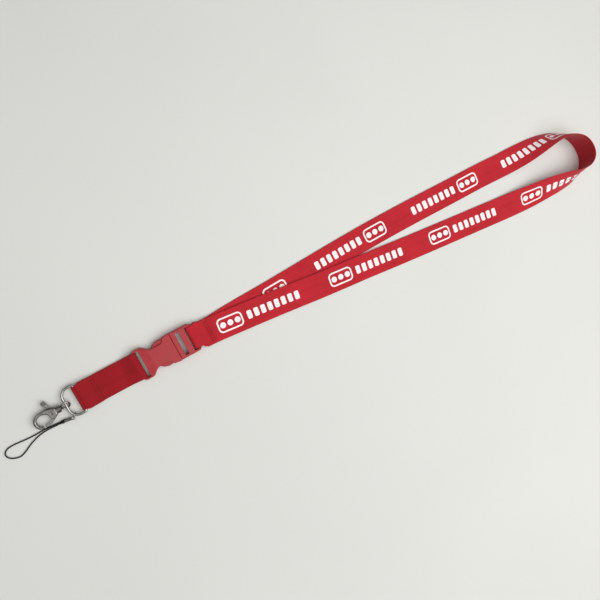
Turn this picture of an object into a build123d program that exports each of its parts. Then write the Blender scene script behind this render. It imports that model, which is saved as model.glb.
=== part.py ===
from build123d import *
import math
import os

# Neck lanyard with a side-release buckle, a swivel trigger hook and a phone string.
#
# Millimetres. +X runs from the hook towards the neck loop, +Z is up off the surface it lies on.
# The origin is on the flat underside of the buckle, at the middle of the buckle.

# webbing
TAPE_WIDTH = 20.0
TAPE_THICK = 0.9
RUN_GAP = 0.25  # between webbing and the bar it turns round
RAMP_SHARE = 0.53  # how much of the anchor fold slopes down from its bar
ANCHOR_END_X = 35.2  # where the plain fold ends on the neck tape
TAIL_X = -53.5  # free edge of the short strap's turned-in end
TAIL_END_X = -63.6
STITCH_WIDE = 0.7
STITCH_GAP = 0.02  # a stitch row stands this far clear of its strap
STITCH_PROUD = 0.3
ANCHOR_STITCH_INSETS = (1.4, 3.0)  # the two rows, from the fold's end
ANCHOR_STITCH_HALF = 8.8
STRAP_STITCH_X = -55.1
STRAP_STITCH_BASE = 3.36
STRAP_STITCH_HALF = 8.6

# buckle
BUCKLE_HEIGHT = 6.4
BUCKLE_MID_Z = BUCKLE_HEIGHT / 2
SEAM_X = 6.2  # where the socket's mouth meets the plug's flange
PLATE = 1.05  # top and bottom walls of the socket
SOCKET_BAR_X = -22.2
SOCKET_BAR_R = 1.1
SOCKET_SLOT_RIGHT = -17.9
EAR_HALF = 11.4
SLOT_HALF = 10.2
WAIST_X = -9.7
WAIST_HALF = 7.0
WINDOW_END_X = 0.4
MOUTH_HALF = 10.9
CAVITY_HALF = 8.5
CAVITY_END_X = -13.0
NOSE_HALF = 5.7  # half width of the cavity beyond the windows
PLUG_HALF = 10.6
PLUG_END_X = 22.5
PLUG_BAR_X = 20.7
PLUG_BAR_WIDE = 3.4
PLUG_BAR_THICK = 2.4
PLUG_SLOT_HALF = 9.1
EMPTY_SLOT_X = 11.4
EMPTY_SLOT_WIDE = 2.8
TAPE_SLOT_LEFT = 17.2
ARM_ROOT_Y = 7.3
ARM_THICK = 1.9
ARM_HEIGHT = 3.8
BUTTON_HALF = 9.9
TONGUE_HALF = 1.8
EDGE_ROUND = 0.45  # the moulded edges

# D-ring and hook
D_WIRE = 1.8
D_BAR_X = -66.75
D_APEX_X = -76.6
D_HALF = 10.35
D_Z = 2.6
D_CORNER = 6.0  # bend of the bow's shoulders
EYE_X = -76.95
EYE_R = 2.9
EYE_WIRE = 1.3
EYE_TILT = 50.0
HOOK_Z = 2.85
POST_R = 1.1
HEAD_R = 1.7
BARREL_X = -80.7
BARREL_R = 2.5
BODY_THICK = 5.0
CLAW_THICK = 3.0
CLAW_WIRE = 2.2
PIN_X = -86.2
PIN_Y = -0.6
PIN_R = 0.8
LEVER_THICK = 1.4
POCKET_LOW = HOOK_Z - 1.55
POCKET_HIGH = HOOK_Z + 1.55
LEVER_LOW = POCKET_LOW + 0.1
CAST_ROUND = 0.7  # the cast hook's edges
SPRING_WIRE = 0.4
PAD_ROUND = 0.3  # the thumb pad's edges

# phone string
JUMP_R = 1.9
JUMP_WIRE = 0.7
EYELET_R = 1.1
EYELET_WIRE = 0.6
CRIMP_R = 1.15
BEAD_R = 1.25
CORD_D = 0.9
CRIMP_END = (-82.6, -9.5, 1.45)
BEAD_AT = (-83.7, -9.42, 1.32)


def save(shape, name):
    """Write one named piece."""
    solids = shape.solids()
    assert len(solids) == 1, (name, len(solids))
    solids[0].label = name
    export_step(solids[0], f"parts/{name}.step")


def prism(outline, low, high):
    """A plan outline (a face in XY) made solid between two heights."""
    return Pos(0, 0, low) * extrude(outline, high - low)


def block(x0, x1, y0, y1, z0, z1):
    """A box by its limits."""
    return Pos((x0 + x1) / 2, (y0 + y1) / 2, (z0 + z1) / 2) * Box(x1 - x0, y1 - y0, z1 - z0)


def mirrored(points):
    """Plan points given on the +Y side, closed with their mirror images."""
    return points + [(x, -y) for x, y in reversed(points)]


def plan(points):
    """A face from plan points."""
    return make_face(Polyline(*points, close=True))


def rod(start, end, radius):
    """A round bar between two points."""
    axis = Vector(*end) - Vector(*start)
    return Plane(origin=start, z_dir=axis) * extrude(Circle(radius), axis.length)


def rim(shape, *levels):
    """The edges of a solid that lie flat at any of these heights."""
    flat = [e for e in shape.edges() if e.bounding_box().size.Z < 0.01]
    return [e for e in flat if any(abs(e.center().Z - z) < 0.01 for z in levels)]


def looped_tape(path):
    """Webbing of full width that follows an open path in the XZ plane."""
    outline = offset(path, TAPE_THICK / 2, side=Side.BOTH, kind=Kind.ARC)
    return extrude(Plane.XZ * make_face(outline), TAPE_WIDTH / 2, both=True)


# ---------------------------------------------------------------- webbing


def wrap_path(bar_x, bar_z, inner, end_x, top_end, low_end, towards):
    """Centre line of a tape that turns round a bar and comes back, as (x, z) edges.

    towards is +1 where the two layers leave the bar to the right, -1 to the left.
    """
    r = inner + TAPE_THICK / 2
    mid = (bar_x - towards * r, bar_z)
    top = (bar_x, bar_z + r)
    low = (bar_x, bar_z - r)
    bend = ThreePointArc(top, mid, low)
    ramp = bar_x + towards * RAMP_SHARE * abs(end_x - bar_x)
    upper = Line((ramp, top_end), top)
    upper_flat = Line((end_x, top_end), (ramp, top_end))
    lower = Line(low, (ramp, low_end))
    lower_flat = Line((ramp, low_end), (end_x, low_end))
    return upper_flat + upper + bend + lower + lower_flat


def anchor_loop():
    """The plain fold of webbing that holds the plug to the neck tape's two ends."""
    top_end = 3.5 * TAPE_THICK + 0.2
    low_end = TAPE_THICK / 2 + 0.02
    path = wrap_path(PLUG_BAR_X, BUCKLE_MID_Z, 2.05, ANCHOR_END_X, top_end, low_end, 1)
    tape = looped_tape(path)
    nip = PLUG_SLOT_HALF - 0.3
    sides = mirrored([(14, nip), (24.8, nip), (28.5, TAPE_WIDTH / 2), (ANCHOR_END_X + 1, TAPE_WIDTH / 2)])
    return tape & prism(plan(sides), -1, 9)


def short_strap():
    """The closed band between the D-ring and the socket, its overlap behind the D-ring."""
    r_d = D_WIRE / 2 + RUN_GAP + TAPE_THICK / 2
    r_s = SOCKET_BAR_R + RUN_GAP + TAPE_THICK / 2
    flat_top = 1.5 * TAPE_THICK + 0.15
    flat_low = TAPE_THICK / 2 + 0.05
    left = ThreePointArc((D_BAR_X, D_Z + r_d), (D_BAR_X - r_d, D_Z), (D_BAR_X, D_Z - r_d))
    bar_low = (SOCKET_BAR_X, BUCKLE_MID_Z - r_s)
    bar_top = (SOCKET_BAR_X, BUCKLE_MID_Z + r_s)
    right = ThreePointArc(bar_low, (SOCKET_BAR_X + r_s, BUCKLE_MID_Z), bar_top)
    low = Polyline((D_BAR_X, D_Z - r_d), (-58, flat_low), (-31, flat_low), bar_low)
    top = Polyline(bar_top, (-33, flat_top + 0.25), (TAIL_X, flat_top + 0.05), (D_BAR_X, D_Z + r_d))
    ring = make_face(left + low + right + top)
    outer = offset(ring, TAPE_THICK / 2, kind=Kind.ARC)
    inner = offset(ring, -TAPE_THICK / 2, kind=Kind.ARC)
    tape = extrude(Plane.XZ * (outer - inner), TAPE_WIDTH / 2, both=True)
    edge = TAPE_WIDTH / 2
    fold = D_HALF - D_WIRE / 2 - 0.3
    sides = mirrored([(-70, fold), (-65, fold), (-60, edge), (-15, edge)])
    return tape & prism(plan(sides), -1, 9)


def strap_tail():
    """The turned-in end of the short strap, lying on its top layer behind the D-ring."""
    top_of_bend = D_Z + D_WIRE / 2 + RUN_GAP + TAPE_THICK
    low = 2 * TAPE_THICK + 0.25
    slope = (top_of_bend - low) / (D_BAR_X - TAIL_X)
    rise = slope * (TAIL_END_X - TAIL_X) + 0.08
    side = Polyline(
        (TAIL_X, low + 0.08),
        (TAIL_X, low + TAPE_THICK),
        (TAIL_END_X, low + TAPE_THICK + rise),
        (TAIL_END_X, low + rise),
        close=True,
    )
    return extrude(Plane.XZ * make_face(side), D_HALF - D_WIRE / 2 - 0.3, both=True)


# centre of the neck tape in plan, its lift off the surface and its roll in degrees.
# The list runs out along the strand that the hand meets first, round the far end and back.
# At a roll of 90 degrees the tape stands on its outer edge.
NECK_ROUTE = [
    (27.0, -1.9, 1.42, 0),
    (36.0, -1.8, 1.40, 0),
    (48.0, -0.9, 0.50, 0),
    (90.0, 0.8, 0.46, 0),
    (132.0, 2.9, 0.46, 0),
    (174.0, 4.6, 0.46, 0),
    (216.0, 5.2, 0.46, 0),
    (258.0, 5.0, 0.46, 0),
    (292.0, 4.9, 0.46, 0),
    (316.0, 4.4, 0.9, 4),
    (334.0, 5.0, 4.4, 24),
    (347.0, 5.9, 6.9, 41),
    (359.0, 6.3, 8.7, 58),
    (371.0, 4.9, 9.6, 73),
    (380.5, -0.4, 10.0, 84),
    (386.3, -6.6, 10.2, 90),
    (389.2, -15.0, 10.2, 92),
    (388.2, -24.2, 10.2, 88),
    (382.5, -30.5, 10.0, 78),
    (373.0, -33.6, 9.2, 62),
    (361.5, -33.3, 7.5, 46),
    (348.0, -32.2, 5.7, 32),
    (331.0, -31.3, 3.8, 20),
    (308.0, -29.6, 1.3, 5),
    (272.0, -26.3, 0.5, 0),
    (236.0, -23.0, 0.5, 0),
    (200.0, -19.5, 0.6, 0.3),
    (165.0, -15.8, 1.25, 3.5),
    (128.0, -12.2, 1.5, 3.0),
    (90.0, -7.9, 1.6, 2.2),
    (52.0, -4.0, 1.75, 1.0),
    (36.0, -2.4, 2.36, 0),
    (27.0, -1.9, 2.38, 0),
]


def tape_section(before, here, after):
    """The tape's rectangular section at one point of the route."""
    heading = Vector(after[0] - before[0], after[1] - before[1], 0).normalized()
    left = Vector(-heading.Y, heading.X, 0)
    roll = math.radians(here[3])
    across = left * math.cos(roll) - Vector(0, 0, 1) * math.sin(roll)
    face_up = left * math.sin(roll) + Vector(0, 0, 1) * math.cos(roll)
    centre = Vector(*here[:3])
    half, thin = TAPE_WIDTH / 2, TAPE_THICK / 2
    corners = [
        centre + across * half * a + face_up * thin * b for a, b in ((1, 1), (-1, 1), (-1, -1), (1, -1))
    ]
    return make_face(Polyline(*corners, close=True))


def neck_strap():
    """The neck tape: out flat, rolled on edge round the far end, and back over itself."""
    route = NECK_ROUTE
    sections = []
    for n, here in enumerate(route):
        before = route[max(n - 1, 0)]
        after = route[min(n + 1, len(route) - 1)]
        sections.append(tape_section(before, here, after))
    return loft(sections, ruled=True)


def stitch_row(x, top, half):
    """One bar of lock stitches across a strap, standing just clear of its face."""
    wide = STITCH_WIDE / 2
    return block(x - wide, x + wide, -half, half, top + STITCH_GAP, top + STITCH_PROUD)


# ---------------------------------------------------------------- buckle


def socket_outline():
    """Plan outline of the socket's plates: ears, waist, open sides, and the mouth."""
    ears = Spline(
        [(-17.0, EAR_HALF), (-13.6, 9.3), (WAIST_X, WAIST_HALF)], tangents=[(1, -0.05), (1, -0.25)]
    )
    upper = [
        Polyline((-23.4, 0), (-23.4, 8.6)),
        ThreePointArc((-23.4, 8.6), (-22.2, 10.9), (-19.6, EAR_HALF)),
        Line((-19.6, EAR_HALF), (-17.0, EAR_HALF)),
        ears,
        Line((WAIST_X, WAIST_HALF), (-2.6, WAIST_HALF)),
        ThreePointArc((-2.6, WAIST_HALF), (-0.7, 8.0), (WINDOW_END_X, 10.3)),
        Line((WINDOW_END_X, 10.3), (SEAM_X, MOUTH_HALF)),
        Line((SEAM_X, MOUTH_HALF), (SEAM_X, 0)),
    ]
    half = make_face(Curve() + upper + [Line((SEAM_X, 0), (-23.4, 0))])
    return half + mirror(half, Plane.XZ)


def buckle_socket():
    """Hollow half of the buckle, with side windows, a web bar and its strap slot."""
    body = prism(socket_outline(), 0, BUCKLE_HEIGHT)
    cavity = mirrored(
        [
            (CAVITY_END_X, NOSE_HALF),
            (WAIST_X, NOSE_HALF),
            (-7.5, EAR_HALF + 1),
            (WINDOW_END_X, EAR_HALF + 1),
            (WINDOW_END_X, CAVITY_HALF),
            (SEAM_X + 1, CAVITY_HALF),
        ]
    )
    # the ears thin towards the web bar, above and below
    top_cut = Polyline((-24, 6.5), (-24, 5.2), (-12, BUCKLE_HEIGHT), (-12, 6.5), close=True)
    body -= extrude(Plane.XZ * make_face(top_cut), 20, both=True)
    body = fillet(rim(body, BUCKLE_HEIGHT), EDGE_ROUND)
    body = fillet(rim(body, 0), EDGE_ROUND)
    body -= prism(plan(cavity), PLATE, BUCKLE_HEIGHT - PLATE)
    # strap slot and the round web bar at the end
    body -= block(-25, SOCKET_SLOT_RIGHT, -SLOT_HALF, SLOT_HALF, -1, 8)
    bar_end = SLOT_HALF + 0.5
    bar = rod((SOCKET_BAR_X, -bar_end, BUCKLE_MID_Z), (SOCKET_BAR_X, bar_end, BUCKLE_MID_Z), SOCKET_BAR_R)
    return body + bar


def plug_body():
    """Solid half of the buckle: flange, empty slot, tape slot, end bar and centre tongue."""
    corner = 1.6
    outline = mirrored(
        [
            (SEAM_X + 0.15, MOUTH_HALF - 0.2),
            (SEAM_X + 1.2, MOUTH_HALF - 0.2),
            (SEAM_X + 1.5, PLUG_HALF),
            (PLUG_END_X - corner, PLUG_HALF),
            (PLUG_END_X, PLUG_HALF - corner),
        ]
    )
    body = prism(plan(outline), 0, BUCKLE_HEIGHT)
    body = fillet(rim(body, 0, BUCKLE_HEIGHT), EDGE_ROUND)
    left, right = EMPTY_SLOT_X - EMPTY_SLOT_WIDE / 2, EMPTY_SLOT_X + EMPTY_SLOT_WIDE / 2
    empty_half = PLUG_SLOT_HALF - 0.2
    body -= block(left, right, -empty_half, empty_half, -1, 8)
    body -= block(TAPE_SLOT_LEFT, PLUG_END_X + 1, -PLUG_SLOT_HALF, PLUG_SLOT_HALF, -1, 8)
    bar = RectangleRounded(PLUG_BAR_WIDE, PLUG_BAR_THICK, PLUG_BAR_THICK / 2 - 0.05)
    body += extrude(Plane.XZ * (Pos(PLUG_BAR_X, BUCKLE_MID_Z) * bar), PLUG_SLOT_HALF + 0.5, both=True)
    tongue_low, tongue_high = PLATE + 0.25, BUCKLE_HEIGHT - PLATE - 0.25
    tongue = block(-11.5, SEAM_X + 0.6, -TONGUE_HALF, TONGUE_HALF, tongue_low, tongue_high)
    shank = block(SEAM_X - 1.6, SEAM_X + 0.6, -5.6, 5.6, tongue_low, tongue_high)
    body = body + tongue + shank
    low = BUCKLE_MID_Z - ARM_HEIGHT / 2 - 0.1
    high = BUCKLE_MID_Z + ARM_HEIGHT / 2 + 0.1
    for y in (ARM_ROOT_Y, -ARM_ROOT_Y):
        body -= rod((SEAM_X, y, low), (SEAM_X, y, high), ARM_THICK / 2 + 0.05)
    return body


def plug_arm(side):
    """One flexing arm of the plug: beam, latch shoulder and thumb button."""
    inner = ARM_ROOT_Y - ARM_THICK / 2
    outer = ARM_ROOT_Y + ARM_THICK / 2
    edge = [
        ThreePointArc((SEAM_X, inner), (SEAM_X + ARM_THICK / 2, ARM_ROOT_Y), (SEAM_X, outer)),
        Line((SEAM_X, outer), (WINDOW_END_X - 0.25, outer)),
        Line((WINDOW_END_X - 0.25, outer), (WINDOW_END_X - 0.25, 9.6)),
        ThreePointArc((WINDOW_END_X - 0.25, 9.6), (-4.4, BUTTON_HALF), (-9.0, 7.1)),
        Line((-9.0, 7.1), (-9.3, 5.2)),
        ThreePointArc((-9.3, 5.2), (-4.4, 6.7), (0.6, inner)),
        Line((0.6, inner), (SEAM_X, inner)),
    ]
    low = BUCKLE_MID_Z - ARM_HEIGHT / 2
    arm = prism(make_face(Curve() + edge), low, low + ARM_HEIGHT)
    button = [e for e in rim(arm, low, low + ARM_HEIGHT) if e.center().X < -1 and e.center().Y > 8]
    arm = fillet(button, EDGE_ROUND)
    return arm if side > 0 else mirror(arm, Plane.XZ)


# ---------------------------------------------------------------- metal


def d_ring():
    """Bent wire D: a straight bar inside the strap's fold and a square-shouldered bow."""
    y = D_HALF
    path = FilletPolyline(
        (D_BAR_X, 0),
        (D_BAR_X, y),
        (D_APEX_X, y),
        (D_APEX_X, -y),
        (D_BAR_X, -y),
        (D_BAR_X, -0.001),
        radius=[1.5, D_CORNER, D_CORNER, 1.5],
    )
    section = Plane(origin=(D_BAR_X, 0, 0), z_dir=(0, 1, 0)) * Circle(D_WIRE / 2)
    return Pos(0, 0, D_Z) * sweep(section, path)


def swivel_eye():
    """The eye on the D-ring's bow, with the post and head that turn in the hook."""
    ring = Pos(EYE_X, 0, HOOK_Z) * Rot(90 - EYE_TILT, 0, 0) * Torus(EYE_R, EYE_WIRE / 2)
    post = rod((EYE_X - EYE_R - 0.1, 0, HOOK_Z), (BARREL_X - 2.2, 0, HOOK_Z), POST_R)
    head = rod((BARREL_X - 2.2, 0, HOOK_Z), (BARREL_X - 2.9, 0, HOOK_Z), HEAD_R)
    return ring + post + head


def claw_line():
    """Centre line of the fixed claw, from the body's spine round to its nose."""
    return Spline(
        (-85.0, 1.9),
        (-90.5, 2.9),
        (-95.4, 2.6),
        (-98.7, 0.2),
        (-99.1, -3.2),
        (-97.6, -5.6),
        (-95.8, -6.4),
    )


def hook_body():
    """Cast hook: swivel barrel, pocketed body and the fixed claw."""
    barrel = rod((BARREL_X, 0, HOOK_Z), (BARREL_X - 3.3, 0, HOOK_Z), BARREL_R)
    outline = [
        (-83.2, 2.3),
        (-87.6, 3.7),
        (-91.6, 4.0),
        (-92.2, 1.8),
        (-89.4, 0.6),
        (-88.6, -3.4),
        (-86.6, -4.4),
        (-83.2, -2.6),
    ]
    low, high = HOOK_Z - BODY_THICK / 2, HOOK_Z + BODY_THICK / 2
    body = prism(plan(outline), low, high)
    body = fillet(rim(body, low, high), CAST_ROUND)
    line = claw_line()
    tangent = line % 0
    across = Vector(-tangent.Y, tangent.X, 0)
    start = Plane(origin=line @ 0, x_dir=across, z_dir=tangent)
    claw = Pos(0, 0, HOOK_Z) * sweep(start * RectangleRounded(CLAW_WIRE, CLAW_THICK, 0.9), line)
    hook = barrel + body + claw
    # swivel bore and the chamber for the post's head
    hook -= rod((BARREL_X + 1, 0, HOOK_Z), (BARREL_X - 2.05, 0, HOOK_Z), POST_R + 0.05)
    hook -= rod((BARREL_X - 2.05, 0, HOOK_Z), (BARREL_X - 3.1, 0, HOOK_Z), HEAD_R + 0.15)
    # pocket for the lever and its spring: open to both sides, and inside the claw
    pocket = [(-84.2, -7), (-84.2, 7), (-88.8, 7), (-88.8, 1.2), (-93.0, 1.2), (-93.0, -7)]
    hook -= prism(plan(pocket), POCKET_LOW, POCKET_HIGH)
    # pin hole
    hook -= rod((PIN_X, PIN_Y, -1), (PIN_X, PIN_Y, 8), PIN_R)
    return hook


def hook_gate():
    """Sprung lever: the gate that closes the claw, its hub, and the thumb tab."""
    high = LEVER_LOW + LEVER_THICK
    hub = Pos(PIN_X, PIN_Y) * Circle(1.7)
    gate = make_face(
        Curve()
        + [
            ThreePointArc((-85.0, -1.6), (-87.3, -5.2), (-91.2, -6.9)),
            Line((-91.2, -6.9), (-94.2, -7.2)),
            Line((-94.2, -7.2), (-95.0, -5.6)),
            Line((-95.0, -5.6), (-91.4, -5.3)),
            ThreePointArc((-91.4, -5.3), (-88.9, -3.7), (-87.6, 0.0)),
            Line((-87.6, 0.0), (-85.0, -1.6)),
        ]
    )
    tab_tip = [(-90.4, 7.9), (-89.6, 9.4), (-87.6, 9.5)]
    tab = plan([(-85.2, 0.4), (-87.6, 0.0), (-88.9, 5.4), *tab_tip, (-86.8, 6.4)])
    lever = prism(hub, LEVER_LOW, high) + prism(gate, LEVER_LOW, high) + prism(tab, LEVER_LOW, high)
    pad = prism(plan([(-89.0, 5.6), *tab_tip, (-87.0, 7.2), (-87.2, 5.2)]), LEVER_LOW - 0.3, high + 0.9)
    lever += fillet(rim(pad, LEVER_LOW - 0.3, high + 0.9), PAD_ROUND)
    return lever - rod((PIN_X, PIN_Y, -1), (PIN_X, PIN_Y, 8), PIN_R + 0.05)


def gate_pin():
    """Rivet that the lever turns on, flush with the cast body."""
    return rod((PIN_X, PIN_Y, HOOK_Z - BODY_THICK / 2), (PIN_X, PIN_Y, HOOK_Z + BODY_THICK / 2), PIN_R)


def gate_spring():
    """Torsion coil round the pin, above the lever."""
    base = LEVER_LOW + LEVER_THICK + SPRING_WIRE / 2 + 0.08
    pitch = SPRING_WIRE + 0.05
    coil = Helix(pitch=pitch, height=2 * pitch, radius=1.35)
    section = Plane(origin=coil @ 0, z_dir=coil % 0) * Circle(SPRING_WIRE / 2)
    return Pos(PIN_X, PIN_Y, base) * sweep(section, coil)


# ---------------------------------------------------------------- phone string


def shoulder(distance):
    """Plan point that far outside the wire's centre line, 45 degrees round the bow's lower shoulder."""
    reach = (D_CORNER + distance) * math.sqrt(0.5)
    return D_APEX_X + D_CORNER - reach, -D_HALF + D_CORNER - reach


def jump_ring():
    """Small closed ring standing across the D-ring's wire."""
    x, y = shoulder(0.5)
    return Pos(x, y, D_Z) * Rot(0, 0, 45) * Rot(90, 0, 0) * Torus(JUMP_R, JUMP_WIRE / 2)


def cord_crimp():
    """Metal end tube of the string, with the wire eyelet that hangs on the jump ring."""
    x, y = shoulder(0.5 + JUMP_R)
    eye = Vector(x - 0.32, y + 0.02, D_Z)
    ring = Pos(eye) * Torus(EYELET_R, EYELET_WIRE / 2)
    away = (Vector(*CRIMP_END) - eye).normalized()
    start = eye + away * (EYELET_R + 0.25)
    tube = rod(tuple(start), CRIMP_END, CRIMP_R)
    stem = rod(tuple(eye + away * (EYELET_R - 0.1)), tuple(eye + away * 2.2), 0.45)
    return ring + stem + tube


def cord_bead():
    """The knot of the string, pulled tight against the crimp."""
    bead = Pos(*BEAD_AT) * Sphere(BEAD_R)
    away = (Vector(*CRIMP_END) - Vector(*BEAD_AT)).normalized()
    return bead - rod(tuple(Vector(*CRIMP_END)), tuple(Vector(*CRIMP_END) + away * 3), 3)


CORD_ROUTE = [
    (-85.0, -9.0, 1.15),
    (-90.5, -8.4, 0.58),
    (-97.5, -8.1, 0.46),
    (-104.5, -8.5, 0.46),
    (-112.0, -8.0, 0.46),
    (-118.4, -7.25, 0.46),
    (-123.0, -7.6, 0.46),
    (-125.9, -10.0, 0.46),
    (-125.5, -13.4, 0.46),
    (-122.2, -15.9, 0.46),
    (-118.0, -17.0, 0.46),
    (-113.8, -15.3, 0.46),
    (-109.6, -13.0, 0.46),
    (-104.9, -11.0, 0.46),
    (-99.6, -9.65, 0.46),
    (-94.2, -9.35, 0.5),
    (-89.3, -9.6, 0.62),
    (-85.0, -9.85, 1.15),
]


def bend_radii(route):
    """The largest radius that the two runs beside each corner leave room for."""
    points = [Vector(*p) for p in route]
    radii = []
    for a, b, c in zip(points, points[1:], points[2:]):
        turn = (b - a).get_angle(c - b)
        shorter = min((b - a).length, (c - b).length)
        radii.append(0.45 * shorter / math.tan(math.radians(turn / 2)))
    return radii


def phone_cord():
    """The thin cord: out from the knot, round a loose teardrop, and back to the knot."""
    radii = bend_radii(CORD_ROUTE)
    path = FilletPolyline(*CORD_ROUTE, radius=radii)
    section = Plane(origin=path @ 0, z_dir=path % 0) * Circle(CORD_D / 2)
    cord = sweep(section, path)
    expected = math.pi * CORD_D**2 / 4 * path.length
    print("cord radii", [round(r, 1) for r in radii])
    print("cord length", round(path.length, 1), "volume share", round(cord.volume / expected, 4))
    return cord


def main():
    os.makedirs("parts", exist_ok=True)
    save(neck_strap(), "neck_strap")
    save(anchor_loop(), "neck_anchor_loop")
    anchor_top = 4 * TAPE_THICK + 0.2
    for inset, name in zip(ANCHOR_STITCH_INSETS, ("anchor_stitch_outer", "anchor_stitch_inner")):
        save(stitch_row(ANCHOR_END_X - inset, anchor_top, ANCHOR_STITCH_HALF), name)
    save(short_strap(), "short_strap")
    save(strap_tail(), "short_strap_tail")
    save(stitch_row(STRAP_STITCH_X, STRAP_STITCH_BASE, STRAP_STITCH_HALF), "short_strap_stitch")
    save(plug_body(), "plug_body")
    save(plug_arm(1), "plug_arm_left")
    save(plug_arm(-1), "plug_arm_right")
    save(buckle_socket(), "buckle_socket")
    save(d_ring(), "d_ring")
    save(swivel_eye(), "swivel_eye")
    save(hook_body(), "hook_body")
    save(hook_gate(), "hook_gate")
    save(gate_pin(), "gate_pin")
    save(gate_spring(), "gate_spring")
    save(jump_ring(), "jump_ring")
    save(cord_crimp(), "cord_crimp")
    save(cord_bead(), "cord_bead")
    save(phone_cord(), "phone_cord")


main()
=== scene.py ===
"""Neck lanyard: woven tape, print, stitches, moulded buckle, plated hook, phone string and stage."""

import math

import bmesh
import bpy
from mathutils import Matrix, Vector


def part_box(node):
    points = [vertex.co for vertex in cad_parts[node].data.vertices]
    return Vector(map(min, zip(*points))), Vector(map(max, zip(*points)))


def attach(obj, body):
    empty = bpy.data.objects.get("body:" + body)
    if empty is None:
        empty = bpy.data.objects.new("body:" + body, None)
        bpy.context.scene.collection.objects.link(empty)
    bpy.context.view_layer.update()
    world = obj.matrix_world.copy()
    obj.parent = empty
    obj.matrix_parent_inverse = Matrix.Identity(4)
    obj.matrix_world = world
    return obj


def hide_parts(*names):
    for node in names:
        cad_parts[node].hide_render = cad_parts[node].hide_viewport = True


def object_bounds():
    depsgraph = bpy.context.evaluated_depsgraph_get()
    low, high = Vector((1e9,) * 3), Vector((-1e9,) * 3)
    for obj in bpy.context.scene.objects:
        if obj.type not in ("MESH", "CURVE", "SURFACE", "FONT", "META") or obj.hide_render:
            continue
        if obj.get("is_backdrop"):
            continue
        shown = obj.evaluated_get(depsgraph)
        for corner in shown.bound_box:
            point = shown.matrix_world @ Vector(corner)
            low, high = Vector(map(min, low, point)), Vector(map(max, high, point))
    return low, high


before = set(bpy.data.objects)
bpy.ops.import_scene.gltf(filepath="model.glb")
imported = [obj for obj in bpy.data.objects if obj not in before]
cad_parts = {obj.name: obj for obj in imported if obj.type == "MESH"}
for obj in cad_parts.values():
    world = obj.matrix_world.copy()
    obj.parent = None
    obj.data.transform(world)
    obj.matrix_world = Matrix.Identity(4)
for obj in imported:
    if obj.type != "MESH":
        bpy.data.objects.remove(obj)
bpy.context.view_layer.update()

bl_info = {
    "name": "Neck lanyard",
    "version": (1, 0, 0),
    "blender": (4, 5, 0),
    "location": "View3D > Sidebar > Lanyard",
    "description": "Finishes a packed lanyard: webbing, print, stitches, buckle, hook and phone string",
    "category": "Object",
}

# centre of the neck tape in plan, its lift and its roll in degrees: out along one strand,
# round the far end standing on edge, and back over the first strand
NECK_ROUTE = [
    (0.0270, -0.0019, 0.00142, 0),
    (0.0360, -0.0018, 0.00140, 0),
    (0.0480, -0.0009, 0.00050, 0),
    (0.0900, 0.0008, 0.00046, 0),
    (0.1320, 0.0029, 0.00046, 0),
    (0.1740, 0.0046, 0.00046, 0),
    (0.2160, 0.0052, 0.00046, 0),
    (0.2580, 0.0050, 0.00046, 0),
    (0.2920, 0.0049, 0.00046, 0),
    (0.3160, 0.0044, 0.00112, 4),
    (0.3340, 0.0050, 0.00440, 24),
    (0.3470, 0.0059, 0.00690, 41),
    (0.3590, 0.0063, 0.00870, 58),
    (0.3710, 0.0049, 0.00960, 73),
    (0.3805, -0.0004, 0.01000, 84),
    (0.3863, -0.0066, 0.01000, 90),
    (0.3892, -0.0150, 0.01000, 92),
    (0.3882, -0.0242, 0.01000, 88),
    (0.3825, -0.0305, 0.00988, 78),
    (0.3730, -0.0336, 0.00907, 62),
    (0.3615, -0.0333, 0.00750, 46),
    (0.3480, -0.0322, 0.00570, 32),
    (0.3310, -0.0313, 0.00380, 20),
    (0.3080, -0.0296, 0.00130, 5),
    (0.2720, -0.0263, 0.00050, 0),
    (0.2360, -0.0230, 0.00050, 0),
    (0.2000, -0.0195, 0.00060, 0.3),
    (0.1650, -0.0158, 0.00125, 3.5),
    (0.1280, -0.0122, 0.00150, 3.0),
    (0.0900, -0.0079, 0.00160, 2.2),
    (0.0520, -0.0040, 0.00175, 1.0),
    (0.0360, -0.0024, 0.00236, 0),
    (0.0270, -0.0019, 0.00238, 0),
]

# the phone string: out from its knot, round a loose teardrop and back
STRING_ROUTE = [
    (-0.0850, -0.0090, 0.00115),
    (-0.0905, -0.0084, 0.00058),
    (-0.0975, -0.0081, 0.00046),
    (-0.1045, -0.0085, 0.00046),
    (-0.1120, -0.0080, 0.00046),
    (-0.1184, -0.00725, 0.00046),
    (-0.1230, -0.0076, 0.00046),
    (-0.1259, -0.0100, 0.00046),
    (-0.1255, -0.0134, 0.00046),
    (-0.1222, -0.0159, 0.00046),
    (-0.1180, -0.0170, 0.00046),
    (-0.1138, -0.0153, 0.00046),
    (-0.1096, -0.0130, 0.00046),
    (-0.1049, -0.0110, 0.00046),
    (-0.0996, -0.00965, 0.00046),
    (-0.0942, -0.00935, 0.00050),
    (-0.0893, -0.0096, 0.00062),
    (-0.0850, -0.00985, 0.00115),
]

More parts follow.
